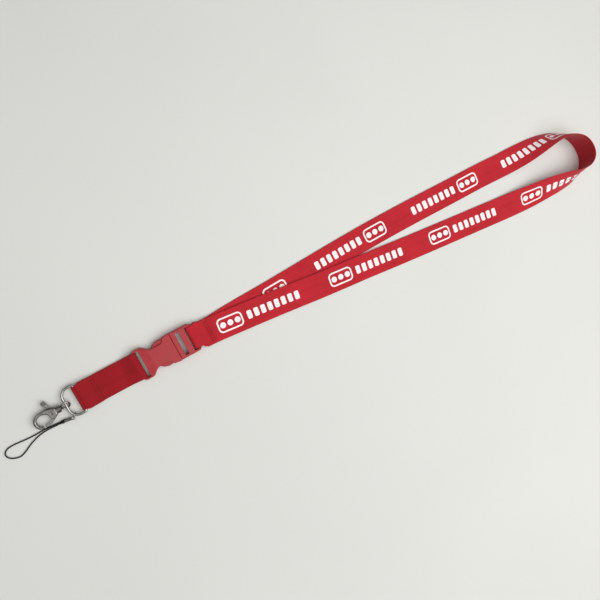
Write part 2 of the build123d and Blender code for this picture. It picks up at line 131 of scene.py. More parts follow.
# centre lines of the two short pieces of webbing, seen from the side as (x, z)
ANCHOR_FOLD = [
    (0.0352, 0.00335),
    (0.02833, 0.00338),
    (0.0245, 0.00453),
    (0.0207, 0.00570),
    (0.01945, 0.00537),
    (0.01853, 0.00445),
    (0.0182, 0.00320),
    (0.01853, 0.00195),
    (0.01945, 0.00103),
    (0.0207, 0.00070),
    (0.0245, 0.00055),
    (0.02833, 0.00047),
    (0.0352, 0.00047),
]
STRAP_BAND = [
    (-0.06675, 0.00420),
    (-0.0601, 0.00287),
    (-0.0535, 0.00155),
    (-0.0430, 0.00164),
    (-0.0330, 0.00175),
    (-0.0276, 0.00338),
    (-0.0222, 0.00500),
    (-0.02093, 0.00447),
    (-0.0204, 0.00320),
    (-0.02093, 0.00193),
    (-0.0222, 0.00140),
    (-0.0310, 0.00052),
    (-0.0445, 0.00050),
    (-0.0580, 0.00052),
    (-0.06675, 0.00100),
    (-0.06788, 0.00147),
    (-0.06835, 0.00260),
    (-0.06788, 0.00373),
]
STRAP_TAIL = [(-0.0535, 0.00254), (-0.0586, 0.00354), (-0.0636, 0.00450), (-0.0658, 0.00462)]

STRING_KNOT = Vector((-0.0837, -0.00942, 0.00132))
STRING_EXIT = STRING_ROUTE[0]

# how closely the centre lines are followed, and the longest edge of the print along the tape
NECK_STEP = 0.0025
SIDE_STEP = 0.0006
PRINT_STEP = 0.0026

# how far aside the anchor fold and its stitches lie where they meet the neck tape
ANCHOR_ASIDE = -0.0019
# half widths of the webbing where it is gathered: round the buckle's end bar and round the D-ring
BAR_HALF = 0.0088
RING_HALF = 0.00915
# the print over the tape's face, the stitches over their seats, the table top under the lowest point
PRINT_LIFT = 0.00003
STITCH_LIFT = 0.00003
TABLE_DROP = 0.00002
# where along the tape the motifs begin to shift round the bend, and over what length
BEND_FROM = 0.345
BEND_LONG = 0.10

# the soft lamps' places and sizes, and the point that they look at
KEY_PLACE = Vector((0.43, -0.28, 0.90))
KEY_SIZE = 1.1
FILL_PLACE = Vector((-0.32, 0.06, 0.90))
FILL_SIZE = 1.0
LAMP_AIM = Vector((0.12, -0.01, 0.0))
# the room's light near the horizon and overhead
SKY_LOW = (0.20, 0.20, 0.20, 1.0)
SKY_HIGH = (1.0, 1.0, 1.0, 1.0)


# ---------------------------------------------------------------- settings


def length(label, about, value, **more):
    """A setting in metres."""
    return bpy.props.FloatProperty(
        name=label, description=about, default=value, min=0.0, unit="LENGTH", precision=5, **more
    )


def colour(label, about, value):
    """A setting for a colour."""
    return bpy.props.FloatVectorProperty(
        name=label, description=about, default=value, size=3, min=0.0, max=1.0, subtype="COLOR"
    )


def number(label, about, value):
    """A setting for how many."""
    return bpy.props.IntProperty(name=label, description=about, default=value, min=1)


def power(label, about, value):
    """A setting for a lamp's power."""
    return bpy.props.FloatProperty(name=label, description=about, default=value, unit="POWER")


def share(label, about, value, most=1.0):
    """A setting between nothing and the most it may be."""
    return bpy.props.FloatProperty(name=label, description=about, default=value, min=0.0, max=most)


class LanyardWebbing(bpy.types.PropertyGroup):
    """Sizes and colours of the woven tape."""

    width: length("Width", "Width of the tape", 0.020)
    thick: length("Thickness", "Thickness of one layer of tape", 0.00088)
    yarn: length("Yarn", "Spacing of the warp yarns across the tape", 0.00055)
    dye: colour("Dye", "Colour of the yarns", (0.64, 0.018, 0.031))
    # the deep colour fills the grooves between the yarns: mostly painted shade, partly the darker side of the
    # uneven dye
    groove_shade_and_dark_dye: colour("Deep dye", "Colour between the yarns", (0.27, 0.006, 0.012))
    strap_dye: colour("Strap dye", "Colour of the short strap", (0.385, 0.0045, 0.0115))
    # the strap's deep colour, likewise painted shade in its grooves and the darker side of its uneven dye
    strap_groove_shade_and_dark_dye: colour("Strap deep dye", "Colour between the strap's yarns", (0.19, 0.002, 0.005))
    thread: colour("Thread", "Colour of the sewing thread", (0.30, 0.005, 0.011))
    stitch_pitch: length("Stitch pitch", "Distance from one stitch to the next", 0.0021)
    stitch_long: length("Stitch length", "Length of one stitch", 0.0018)
    thread_thick: length("Thread thickness", "Diameter of the sewing thread", 0.00042)


class LanyardPrint(bpy.types.PropertyGroup):
    """Sizes and colour of the printed pattern."""

    ink: colour("Ink", "Colour of the print", (0.86, 0.84, 0.84))
    pitch: length("Pitch", "Distance from one motif to the next", 0.093)
    first: length("First", "Where the first badge's middle is along the tape", 0.064)
    slack: length("Slack", "How much further on the motifs are after the bend", 0.0122)
    count: number("Motifs", "How many motifs the tape carries", 8)
    badge_long: length("Badge length", "Length of the badge along the tape", 0.0200)
    badge_wide: length("Badge width", "Width of the badge across the tape", 0.0112)
    line: length("Line", "Width of the badge's outline", 0.0012)
    bars: number("Bars", "How many bars follow a badge", 8)
    bar_pitch: length("Bar pitch", "Distance from one bar to the next", 0.0056)
    bar_long: length("Bar length", "Size of a bar along the tape", 0.0037)
    bar_wide: length("Bar width", "Size of a bar across the tape", 0.0065)


class LanyardBuckle(bpy.types.PropertyGroup):
    """Finish of the moulded buckle."""

    plastic: colour("Plastic", "Colour of the moulded plastic", (0.34, 0.013, 0.019))
    arms: colour("Arms", "Colour of the sprung arms", (0.31, 0.013, 0.018))
    rough: share("Roughness", "Roughness of the moulded face", 0.40)
    grain: length("Grain", "Depth of the moulded grain", 0.00004)


class LanyardMetal(bpy.types.PropertyGroup):
    """Finish of the plated metal."""

    # plating and wire are partly nickel's own colour and partly painted shade: darkened to stand in for a
    # dark room seen in their reflections
    plate: colour("Plating", "Colour of the nickel plating", (0.30, 0.288, 0.27))
    dark: colour("Tarnish", "Colour of the plating in its hollows", (0.055, 0.052, 0.048))
    wire: colour("Wire", "Colour of the bent wire", (0.36, 0.35, 0.33))
    rough: share("Roughness", "Roughness of the plating", 0.19)


class LanyardString(bpy.types.PropertyGroup):
    """Sizes and colour of the phone string."""

    thick: length("Thickness", "Diameter of the string", 0.0009)
    full: length("Length", "Length of the loop from knot to knot", 0.087)
    black: colour("Colour", "Colour of the string", (0.006, 0.006, 0.007))
    knot_turns: number("Turns", "Turns of the knot", 3)
    knot_wide: length("Knot radius", "Radius of the knot's turns", 0.00098)


class LanyardStage(bpy.types.PropertyGroup):
    """Table top and lamps."""

    floor: colour("Table", "Colour of the table top", (0.66, 0.66, 0.628))
    key: power("Key", "Power of the large soft lamp", 10.5)
    fill: power("Fill", "Power of the second lamp", 1.3)
    room: share("Room", "Strength of the light from all round", 0.44, 5.0)
    focal: bpy.props.FloatProperty(
        name="Focal length", description="Focal length in millimetres", default=33.0, unit="CAMERA"
    )


# ---------------------------------------------------------------- node helpers


def add(tree, kind, values=None, **settings):
    """A node with its settings, and its inputs set to values or linked to sockets."""
    made = tree.nodes.new(kind)
    made.location = (190 * (len(tree.nodes) % 8), -220 * (len(tree.nodes) // 8))
    for name, value in settings.items():
        setattr(made, name, value)
    for key, value in (values or {}).items():
        if isinstance(value, bpy.types.NodeSocket):
            tree.links.new(value, made.inputs[key])
        else:
            made.inputs[key].default_value = value
    return made


def calc(tree, operation, a, b=0.0, c=0.0):
    """The result of one sum."""
    return add(tree, "ShaderNodeMath", {0: a, 1: b, 2: c}, operation=operation).outputs[0]


def blended(tree, amount, first, second):
    """Two colours mixed by an amount."""
    mixed = add(tree, "ShaderNodeMix", {0: amount, 6: first, 7: second}, data_type="RGBA")
    return mixed.outputs[2]


def tinted(tree, shader, amount, first, second):
    """The base colour, mixed from two colour settings by an amount."""
    mixed = blended(tree, amount, (*first, 1.0), (*second, 1.0))
    tree.links.new(mixed, shader.inputs["Base Color"])


def new_group(name, kind, inputs, outputs):
    """An empty node group with named sockets: the tree, what comes in and what goes out."""
    tree = bpy.data.node_groups.new(name, kind)
    for label, socket, default in inputs:
        made = tree.interface.new_socket(label, in_out="INPUT", socket_type=socket)
        if default is not None:
            made.default_value = default
    for label, socket in outputs:
        tree.interface.new_socket(label, in_out="OUTPUT", socket_type=socket)
    return tree, tree.nodes.new("NodeGroupInput").outputs, tree.nodes.new("NodeGroupOutput").inputs


def placed(tree, group, values):
    """A shader group placed in a material with its own values: its outputs."""
    return add(tree, "ShaderNodeGroup", values, node_tree=group).outputs


# ---------------------------------------------------------------- shared effects


def weave_group():
    """Warp yarns that bob over and under the weft, from a place along and across the tape."""
    tree, given, out = new_group(
        "woven_yarns",
        "ShaderNodeTree",
        [
            ("Along", "NodeSocketFloat", 0.0),
            ("Across", "NodeSocketFloat", 0.0),
            ("Yarn", "NodeSocketFloat", 0.00055),
            ("Weft", "NodeSocketFloat", 1.5),
        ],
        [("Height", "NodeSocketFloat"), ("Yarn shade", "NodeSocketFloat")],
    )
    count = calc(tree, "DIVIDE", given["Across"], given["Yarn"])
    number = calc(tree, "FLOOR", count)
    round_yarn = calc(tree, "SINE", calc(tree, "MULTIPLY", calc(tree, "FRACT", count), math.pi))
    weft = calc(tree, "MULTIPLY", given["Yarn"], given["Weft"])
    step = calc(tree, "MULTIPLY_ADD", number, 0.5, calc(tree, "DIVIDE", given["Along"], weft))
    bob = calc(tree, "SINE", calc(tree, "MULTIPLY", step, 2 * math.pi))
    lift = calc(tree, "MULTIPLY_ADD", bob, 0.28, 0.72)
    tree.links.new(calc(tree, "MULTIPLY", round_yarn, lift), out["Height"])
    shade = add(tree, "ShaderNodeTexWhiteNoise", {"W": number}, noise_dimensions="1D")
    tree.links.new(shade.outputs["Value"], out["Yarn shade"])
    return tree


def mottle_group():
    """Soft uneven patches, such as in dye, plating or moulded plastic."""
    tree, given, out = new_group(
        "soft_patches",
        "ShaderNodeTree",
        [
            ("Vector", "NodeSocketVector", None),
            ("Scale", "NodeSocketFloat", 60.0),
            ("Low", "NodeSocketFloat", 0.0),
            ("High", "NodeSocketFloat", 1.0),
        ],
        [("Value", "NodeSocketFloat")],
    )
    noise = add(
        tree, "ShaderNodeTexNoise", {"Vector": given["Vector"], "Scale": given["Scale"], "Detail": 4.0}
    ).outputs[0]
    spread = add(
        tree,
        "ShaderNodeMapRange",
        {0: noise, 1: 0.3, 2: 0.7, 3: given["Low"], 4: given["High"]},
        interpolation_type="SMOOTHSTEP",
    )
    tree.links.new(spread.outputs[0], out["Value"])
    return tree


def rubbed_group():
    """Hairline rubbing marks that run mostly one way over a hard surface."""
    tree, given, out = new_group(
        "rubbed_lines",
        "ShaderNodeTree",
        [("Vector", "NodeSocketVector", None), ("Scale", "NodeSocketFloat", 900.0)],
        [("Lines", "NodeSocketFloat")],
    )
    turned = add(tree, "ShaderNodeMapping", {0: given["Vector"], 2: (0.2, 0.3, 0.5), 3: (0.12, 1.0, 1.0)})
    fine = add(
        tree, "ShaderNodeTexNoise", {"Vector": turned.outputs[0], "Scale": given["Scale"], "Detail": 3.0}
    )
    sharp = add(tree, "ShaderNodeMapRange", {0: fine.outputs[0], 1: 0.42, 2: 0.66})
    tree.links.new(sharp.outputs[0], out["Lines"])
    return tree


EFFECTS = {}


def effect(name):
    """A shared effect's node group, built the first time that it is asked for."""
    makers = {"weave": weave_group, "mottle": mottle_group, "rubbed": rubbed_group}
    if name not in EFFECTS:
        EFFECTS[name] = makers[name]()
    return EFFECTS[name]


# ---------------------------------------------------------------- materials


def new_material(name, **constants):
    """A material with its Principled shader, and the values that are the same all over it."""
    material = bpy.data.materials.new(name)
    material.use_nodes = True
    shader = material.node_tree.nodes["Principled BSDF"]
    for label, value in constants.items():
        shader.inputs[label.replace("_", " ")].default_value = value
    return material, material.node_tree, shader


def along_and_across(tree):
    """The tape's own coordinates, in metres, from its UV map."""
    uv = add(tree, "ShaderNodeUVMap", uv_map="tape")
    parts = add(tree, "ShaderNodeSeparateXYZ", {0: uv.outputs[0]})
    return parts.outputs[0], parts.outputs[1]


def object_place(tree):
    """The surface's place in the object."""
    return add(tree, "ShaderNodeTexCoord").outputs["Object"]


def relief(tree, shader, height, depth, strength=1.0):
    """A bump of that depth in metres."""
    bump = add(tree, "ShaderNodeBump", {"Height": height, "Distance": depth, "Strength": strength})
    tree.links.new(bump.outputs[0], shader.inputs["Normal"])


def webbing_material(name, dye, groove_shade_and_dark_dye, yarn):
    """Dyed polyester tape: bobbing warp yarns, uneven dye, painted shade in the grooves between the yarns and
    a soft sheen.
    """
    material, tree, shader = new_material(
        name, Sheen_Weight=0.16, Sheen_Roughness=0.45, Specular_IOR_Level=0.25
    )
    along, across = along_and_across(tree)
    weave = placed(tree, effect("weave"), {"Along": along, "Across": across, "Yarn": yarn})
    patches = placed(tree, effect("mottle"), {"Vector": object_place(tree), "Scale": 45.0})
    shade = calc(tree, "MULTIPLY", weave["Yarn shade"], 0.12)
    depth = calc(tree, "MULTIPLY_ADD", weave["Height"], 0.9, shade)
    even = calc(tree, "MULTIPLY_ADD", patches["Value"], -0.14, depth)
    shade_and_dye_mix = add(tree, "ShaderNodeMapRange", {0: even, 1: 0.05, 2: 0.75}).outputs[0]
    # low yarn heights take the deep colour: painted shade in the grooves, with the dye's random patches and
    # yarn tones
    tinted(tree, shader, shade_and_dye_mix, groove_shade_and_dark_dye, dye)
    rough = add(tree, "ShaderNodeMapRange", {0: weave["Height"], 3: 0.92, 4: 0.70}).outputs[0]
    tree.links.new(rough, shader.inputs["Roughness"])
    relief(tree, shader, weave["Height"], yarn * 0.32, 0.55)
    return material


def ink_material(ink, dye, yarn):
    """Screen print that sits on the yarns' tops and thins where they dip."""
    material, tree, shader = new_material("printed_ink", Specular_IOR_Level=0.35)
    along, across = along_and_across(tree)
    weave = placed(tree, effect("weave"), {"Along": along, "Across": across, "Yarn": yarn})
    patches = placed(
        tree, effect("mottle"), {"Vector": object_place(tree), "Scale": 700.0, "Low": 0.0, "High": 0.22}
    )
    bare = calc(tree, "SUBTRACT", 0.34, calc(tree, "ADD", weave["Height"], patches["Value"]))
    worn = add(tree, "ShaderNodeMapRange", {0: bare, 1: 0.0, 2: 0.3, 3: 0.03, 4: 0.45}).outputs[0]
    tinted(tree, shader, worn, ink, dye)
    rough = add(tree, "ShaderNodeMapRange", {0: weave["Height"], 3: 0.75, 4: 0.5}).outputs[0]
    tree.links.new(rough, shader.inputs["Roughness"])
    relief(tree, shader, weave["Height"], yarn * 0.2, 0.4)
    return material


def thread_material(dye):
    """Twisted sewing thread, with painted shade in the grooves of its twist."""
    material, tree, shader = new_material("sewing_thread", Roughness=0.7, Specular_IOR_Level=0.25)
    wave = add(
        tree,
        "ShaderNodeTexWave",
        {"Vector": object_place(tree), "Scale": 900.0, "Distortion": 1.5},
        bands_direction="DIAGONAL",
    )
    # the twist's grooves are painted at 0.45 of the dye: painted shade
    tinted(tree, shader, wave.outputs[1], [0.45 * part for part in dye], dye)
    relief(tree, shader, wave.outputs[1], 0.00006, 0.6)
    return material


def plastic_material(name, body, rough, grain):
    """Moulded acetal: fine grain, soft patches and light rubbing."""
    material, tree, shader = new_material(name, Specular_IOR_Level=0.32, Coat_Weight=0.04, Coat_Roughness=0.3)
    place = object_place(tree)
    patches = placed(tree, effect("mottle"), {"Vector": place, "Scale": 130.0})
    lines = placed(tree, effect("rubbed"), {"Vector": place, "Scale": 1400.0})
    pale = [min(1.0, 1.18 * part + 0.012) for part in body]
    tinted(tree, shader, calc(tree, "MULTIPLY", patches["Value"], 0.5), body, pale)
    uneven = calc(tree, "MULTIPLY_ADD", patches["Value"], 0.08, rough)
    tree.links.new(calc(tree, "MULTIPLY_ADD", lines["Lines"], 0.07, uneven), shader.inputs["Roughness"])
    speck = add(tree, "ShaderNodeTexNoise", {"Vector": place, "Scale": 2600.0, "Detail": 2.0}).outputs[0]
    relief(tree, shader, calc(tree, "MULTIPLY_ADD", lines["Lines"], 0.25, speck), grain, 0.45)
    return material


def metal_material(name, plate, dark, rough, tarnish):
    """Plated metal: darker in patches, rubbed in hairlines."""
    material, tree, shader = new_material(name, Metallic=1.0)
    place = object_place(tree)
    patches = placed(tree, effect("mottle"), {"Vector": place, "Scale": 330.0, "Low": 0.0, "High": tarnish})
    lines = placed(tree, effect("rubbed"), {"Vector": place, "Scale": 2400.0})
    tinted(tree, shader, patches["Value"], plate, dark)
    uneven = calc(tree, "MULTIPLY_ADD", patches["Value"], 0.14, rough)
    tree.links.new(calc(tree, "MULTIPLY_ADD", lines["Lines"], 0.10, uneven), shader.inputs["Roughness"])
    relief(tree, shader, lines["Lines"], 0.000012, 0.35)
    return material


def string_material(name, black, turns, bands):
    """Fine braid: two families of strands that cross round the string, painted paler on the strands' tops as
    highlight.
    """
    material, tree, shader = new_material(name, Specular_IOR_Level=0.1)
    uv = add(tree, "ShaderNodeTexCoord").outputs["UV"]
    parts = add(tree, "ShaderNodeSeparateXYZ", {0: uv})
    lengthwise = calc(tree, "MULTIPLY", parts.outputs[0], bands)
    round_it = calc(tree, "MULTIPLY", parts.outputs[1], turns)
    strands = []
    for way in ("ADD", "SUBTRACT"):
        turned = calc(tree, "MULTIPLY", calc(tree, way, lengthwise, round_it), 2 * math.pi)
        strands.append(calc(tree, "SINE", turned))
    braid = calc(tree, "MULTIPLY_ADD", calc(tree, "MAXIMUM", *strands), 0.5, 0.5)
    # the strands' raised tops are painted paler than the black: painted highlight
    pale = [2.0 * part + 0.002 for part in black]
    tinted(tree, shader, braid, black, pale)
    rough = add(tree, "ShaderNodeMapRange", {0: braid, 3: 0.8, 4: 0.55}).outputs[0]
    tree.links.new(rough, shader.inputs["Roughness"])
    relief(tree, shader, braid, 0.00008, 0.6)
    return material


# ---------------------------------------------------------------- meshes


def smooth(points, step):
    """Points about step apart on one smooth curve through rows of numbers, the first three or two a place."""
    rows = [Vector(p) for p in points]
    flat = 3 if len(rows[0]) > 2 else 2
    at = [0.0]
    for a, b in zip(rows, rows[1:]):
        at.append(at[-1] + (Vector(b[:flat]) - Vector(a[:flat])).length)
    slopes = []
    for n, row in enumerate(rows):
        a, b = max(n - 1, 0), min(n + 1, len(rows) - 1)
        before = (row - rows[a]) / (at[n] - at[a]) if n > a else (rows[b] - row) / (at[b] - at[n])
        after = (rows[b] - row) / (at[b] - at[n]) if b > n else before
        back, ahead = at[n] - at[a], at[b] - at[n]
        slopes.append((before * ahead + after * back) / (back + ahead))
    found = []
    for n in range(len(rows) - 1):
        span = at[n + 1] - at[n]
        steps = max(2, round(span / step))
        for k in range(steps):
            u = k / steps
            found.append(
                rows[n] * (2 * u**3 - 3 * u**2 + 1)
                + slopes[n] * span * (u**3 - 2 * u**2 + u)
                + rows[n + 1] * (3 * u**2 - 2 * u**3)
                + slopes[n + 1] * span * (u**3 - u**2)
            )
    return found + [rows[-1]]


class Station:
    """One cross-section of a tape: its centre, the ways across and up, how far along, its half width."""

    def __init__(self, centre, across, up, along, half):
        self.centre, self.across, self.up, self.along, self.half = centre, across, up, along, half

    def at(self, aside, above):
        """The point that far aside and above."""
        return self.centre + self.across * aside + self.up * above


def neck_stations(half):
    """Sections of the neck tape from the first seam round to the second."""
    line = smooth(NECK_ROUTE, NECK_STEP)
    stations, along = [], 0.0
    for n, row in enumerate(line):
        centre = Vector(row[:3])
        heading = Vector(line[min(n + 1, len(line) - 1)][:3]) - Vector(line[max(n - 1, 0)][:3])
        left = Vector((-heading.y, heading.x, 0.0)).normalized()
        roll = math.radians(row[3])
        across = left * math.cos(roll) - Vector((0, 0, 1)) * math.sin(roll)
        up = heading.cross(across).normalized()
        along += (centre - Vector(line[n - 1][:3])).length if n else 0.0
        stations.append(Station(centre, across, up, along, half))
    return stations


def side_stations(line, half_at, closed=False, drift=lambda x: 0.0):
    """Sections of a tape seen from the side, with its half width and drift aside at each place along X."""
    points = smooth(line + [line[0]] if closed else line, SIDE_STEP)
    stations, along = [], 0.0
    last = len(points) - 1
    for n, point in enumerate(points):
        before = points[(n - 1) if n else (last - 1 if closed else 0)]
        after = points[(n + 1) if n < last else (1 if closed else last)]
        heading = Vector((after[0] - before[0], 0.0, after[1] - before[1])).normalized()
        across = Vector((0, 1, 0))
        along += (point - points[n - 1]).length if n else 0.0
        centre = Vector((point[0], drift(point[0]), point[1]))
        stations.append(Station(centre, across, heading.cross(across), along, half_at(point[0])))
    return stations


def tape_outline(half, thick):
    """A tape's section as (aside, above) points: flat faces and rounded, slightly thicker selvedges."""
    edge = 0.5 * thick
    flat = half - 1.4 * edge
    spots = [-flat + 2 * flat * n / 8 for n in range(9)]
    rims = [math.radians(a) for a in (60, 20, -20, -60)]
    top = [(spot, 0.47 * thick) for spot in reversed(spots)]
    left = [(-half + edge - edge * math.cos(a), edge * math.sin(a)) for a in rims]
    low = [(spot, -0.47 * thick) for spot in spots]
    right = [(half - edge + edge * math.cos(a), -edge * math.sin(a)) for a in rims]
    return top + left + low + right


def tape_mesh(name, stations, thick, closed=False, dent=None):
    """A strip of webbing along its stations, with a UV map in metres along and across."""
    points, marks = [], []
    for station in stations[:-1] if closed else stations:
        for aside, above in tape_outline(station.half, thick):
            place = station.at(aside, above)
            points.append(place if dent is None else dent(place))
    ring = len(tape_outline(stations[0].half, thick))
    rings = len(points) // ring
    faces = []
    for n in range(rings if closed else rings - 1):
        for k in range(ring):
            j = (k + 1) % ring
            ahead = (n + 1) % rings
            faces.append((n * ring + k, n * ring + j, ahead * ring + j, ahead * ring + k))
            marks.append(((n, k), (n, j), (n + 1, j), (n + 1, k)))
    if not closed:
        faces.append(tuple(range(ring)))
        marks.append(tuple((0, k) for k in range(ring)))
        faces.append(tuple((rings - 1) * ring + k for k in reversed(range(ring))))
        marks.append(tuple((rings - 1, k) for k in reversed(range(ring))))
    mesh = bpy.data.meshes.new(name)
    mesh.from_pydata(points, [], faces)
    uv = mesh.uv_layers.new(name="tape")
    outline = tape_outline(stations[0].half, thick)
    for face, corners in zip(mesh.polygons, marks):
        for loop, (n, k) in zip(face.loop_indices, corners):
            uv.data[loop].uv = (stations[n].along, outline[k][0])
    shell = bmesh.new()
    shell.from_mesh(mesh)
    bmesh.ops.recalc_face_normals(shell, faces=shell.faces)
    shell.to_mesh(mesh)
    shell.free()
    mesh.shade_smooth()
    return mesh


def round_cord(name, places, radius, rings, steps):
    """A smooth round cord through its places, from exactly the first to exactly the last."""
    line = bpy.data.curves.new(name, "CURVE")
    line.dimensions = "3D"
    line.bevel_depth = radius
    line.bevel_resolution = rings
    line.resolution_u = steps
    line.use_fill_caps = True
    spline = line.splines.new("NURBS")
    spline.points.add(len(places) - 1)
    for point, place in zip(spline.points, places):
        point.co = (*place, 1.0)
    spline.order_u = 3
    spline.use_endpoint_u = True
    return line


def plain_mesh(holder, name):
    """The finished mesh of a holder object, which is then thrown away."""
    bpy.context.view_layer.update()
    made = bpy.data.meshes.new_from_object(holder.evaluated_get(bpy.context.evaluated_depsgraph_get()))
    made.name = name
    bpy.data.objects.remove(holder)
    return made


def show(name, data, material, body, *nodes):
    """A finished piece in the scene: its material, the body it rides on and the nodes it stands for."""
    piece = bpy.data.objects.new(name, data)
    bpy.context.scene.collection.objects.link(piece)
    data.materials.clear()
    data.materials.append(material)
    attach(piece, body)
    if nodes:
        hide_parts(*nodes)
    return piece


def finish_node(node, material):
    """A carried-over part given its material."""
    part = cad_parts[node]
    part.data.materials.clear()
    part.data.materials.append(material)


# ---------------------------------------------------------------- geometry nodes


def point_row(tree, count, step, start=(0.0, 0.0, 0.0)):
    """A row of points a step apart, for copies to be laid on."""
    values = {"Count": count, "Start Location": start, "Offset": step}
    return add(tree, "GeometryNodeMeshLine", values, mode="OFFSET").outputs["Mesh"]


def stitch_tree():
    """A row of stitches along Y: how many, how far apart, how long and how thick."""
    tree, given, out = new_group(
        "stitch_row",
        "GeometryNodeTree",
        [
            ("Count", "NodeSocketInt", 8),
            ("Pitch", "NodeSocketFloat", 0.0021),
            ("Stitch", "NodeSocketFloat", 0.0018),
            ("Thread", "NodeSocketFloat", 0.0004),
            ("Lean", "NodeSocketFloat", 0.12),
            ("Material", "NodeSocketMaterial", None),
        ],
        [("Geometry", "NodeSocketGeometry")],
    )
    offset = add(tree, "ShaderNodeCombineXYZ", {1: given["Pitch"]}).outputs[0]
    middle = calc(tree, "MULTIPLY", calc(tree, "SUBTRACT", given["Count"], 1.0), -0.5)
    start = add(tree, "ShaderNodeCombineXYZ", {1: calc(tree, "MULTIPLY", middle, given["Pitch"])}).outputs[0]
    spots = point_row(tree, given["Count"], offset, start)
    ball = add(tree, "GeometryNodeMeshUVSphere", {"Segments": 10, "Rings": 6, "Radius": 0.5})
    size = add(tree, "ShaderNodeCombineXYZ", {0: given["Thread"], 1: given["Stitch"], 2: given["Thread"]})
    stitch = add(
        tree, "GeometryNodeTransform", {"Geometry": ball.outputs["Mesh"], "Scale": size.outputs[0]}
    )
    lean = add(
        tree,
        "FunctionNodeRandomValue",
        {2: calc(tree, "MULTIPLY", given["Lean"], -1.0), 3: given["Lean"], "Seed": 4},
        data_type="FLOAT",
    )
    turn = add(tree, "ShaderNodeCombineXYZ", {2: lean.outputs[1]})
    laid = add(
        tree,
        "GeometryNodeInstanceOnPoints",
        {"Points": spots, "Instance": stitch.outputs["Geometry"], "Rotation": turn.outputs[0]},
    )
    real = add(tree, "GeometryNodeRealizeInstances", {"Geometry": laid.outputs["Instances"]})
    soft = add(tree, "GeometryNodeSetShadeSmooth", {"Geometry": real.outputs["Geometry"]})
    done = add(
        tree, "GeometryNodeSetMaterial", {"Geometry": soft.outputs["Geometry"], "Material": given["Material"]}
    )
    tree.links.new(done.outputs["Geometry"], out["Geometry"])
    return tree


def along_x(tree, value):
    """A vector along X."""
    return add(tree, "ShaderNodeCombineXYZ", {0: value}).outputs[0]


def rounded_patch(tree, long, wide, radius):
    """The outline of a rounded rectangle, as a curve."""
    shape = add(tree, "GeometryNodeCurvePrimitiveQuadrilateral", {"Width": long, "Height": wide})
    return add(
        tree,
        "GeometryNodeFilletCurve",
        {"Curve": shape.outputs["Curve"], "Radius": radius, "Count": 5},
        mode="POLY",
    ).outputs["Curve"]


def filled(tree, *curves):
    """Curves filled as flat faces, an inner one left open."""
    joined = add(tree, "GeometryNodeJoinGeometry")
    for curve in curves:
        tree.links.new(curve, joined.inputs["Geometry"])
    return add(
        tree, "GeometryNodeFillCurve", {"Curve": joined.outputs["Geometry"]}, mode="TRIANGLES"
    ).outputs["Mesh"]


def motif_tree():
    """The flat printed strip: badges at a pitch along X, each followed by a row of bars."""
    tree, given, out = new_group(
        "printed_strip",
        "GeometryNodeTree",
        [
            ("Motifs", "NodeSocketInt", 8),
            ("Pitch", "NodeSocketFloat", 0.093),
            ("Badge length", "NodeSocketFloat", 0.02),
            ("Badge width", "NodeSocketFloat", 0.011),
            ("Line", "NodeSocketFloat", 0.0012),
            ("Bars", "NodeSocketInt", 8),
            ("Bar pitch", "NodeSocketFloat", 0.0056),
            ("Bar length", "NodeSocketFloat", 0.0043),
            ("Bar width", "NodeSocketFloat", 0.007),
            ("Material", "NodeSocketMaterial", None),
        ],
        [("Geometry", "NodeSocketGeometry")],
    )
    line = given["Line"]
    inset = calc(tree, "MULTIPLY", line, 2.0)
    corner = calc(tree, "MULTIPLY", given["Badge width"], 0.3)
    outer = rounded_patch(tree, given["Badge length"], given["Badge width"], corner)
    inner = rounded_patch(
        tree,
        calc(tree, "SUBTRACT", given["Badge length"], inset),
        calc(tree, "SUBTRACT", given["Badge width"], inset),
        calc(tree, "SUBTRACT", corner, line),
    )
    frame_face = filled(tree, outer, inner)
    dot = add(
        tree,
        "GeometryNodeCurvePrimitiveCircle",
        {"Resolution": 28, "Radius": calc(tree, "MULTIPLY", given["Badge width"], 0.2)},
        mode="RADIUS",
    ).outputs["Curve"]
    dot_face = filled(tree, dot)
    dot_step = along_x(tree, calc(tree, "MULTIPLY", given["Badge width"], 0.52))
    dot_first = along_x(tree, calc(tree, "MULTIPLY", given["Badge width"], -0.52))
    dot_spots = point_row(tree, 3, dot_step, dot_first)
    dots = add(tree, "GeometryNodeInstanceOnPoints", {"Points": dot_spots, "Instance": dot_face})
    bar = filled(
        tree,
        rounded_patch(
            tree, given["Bar length"], given["Bar width"], calc(tree, "MULTIPLY", given["Bar length"], 0.28)
        ),
    )
    lead = calc(tree, "MULTIPLY_ADD", given["Badge length"], 0.5, given["Bar pitch"])
    bar_first = along_x(tree, calc(tree, "MULTIPLY", lead, -1.0))
    bar_step = along_x(tree, calc(tree, "MULTIPLY", given["Bar pitch"], -1.0))
    bar_spots = point_row(tree, given["Bars"], bar_step, bar_first)
    bars = add(tree, "GeometryNodeInstanceOnPoints", {"Points": bar_spots, "Instance": bar})
    motif = add(tree, "GeometryNodeJoinGeometry")
    for part in (frame_face, dots.outputs["Instances"], bars.outputs["Instances"]):
        tree.links.new(part, motif.inputs["Geometry"])
    spots = point_row(tree, given["Motifs"], along_x(tree, given["Pitch"]))
    laid = add(
        tree, "GeometryNodeInstanceOnPoints", {"Points": spots, "Instance": motif.outputs["Geometry"]}
    )
    real = add(tree, "GeometryNodeRealizeInstances", {"Geometry": laid.outputs["Instances"]})
    done = add(
        tree, "GeometryNodeSetMaterial", {"Geometry": real.outputs["Geometry"], "Material": given["Material"]}
    )
    tree.links.new(done.outputs["Geometry"], out["Geometry"])
    return tree


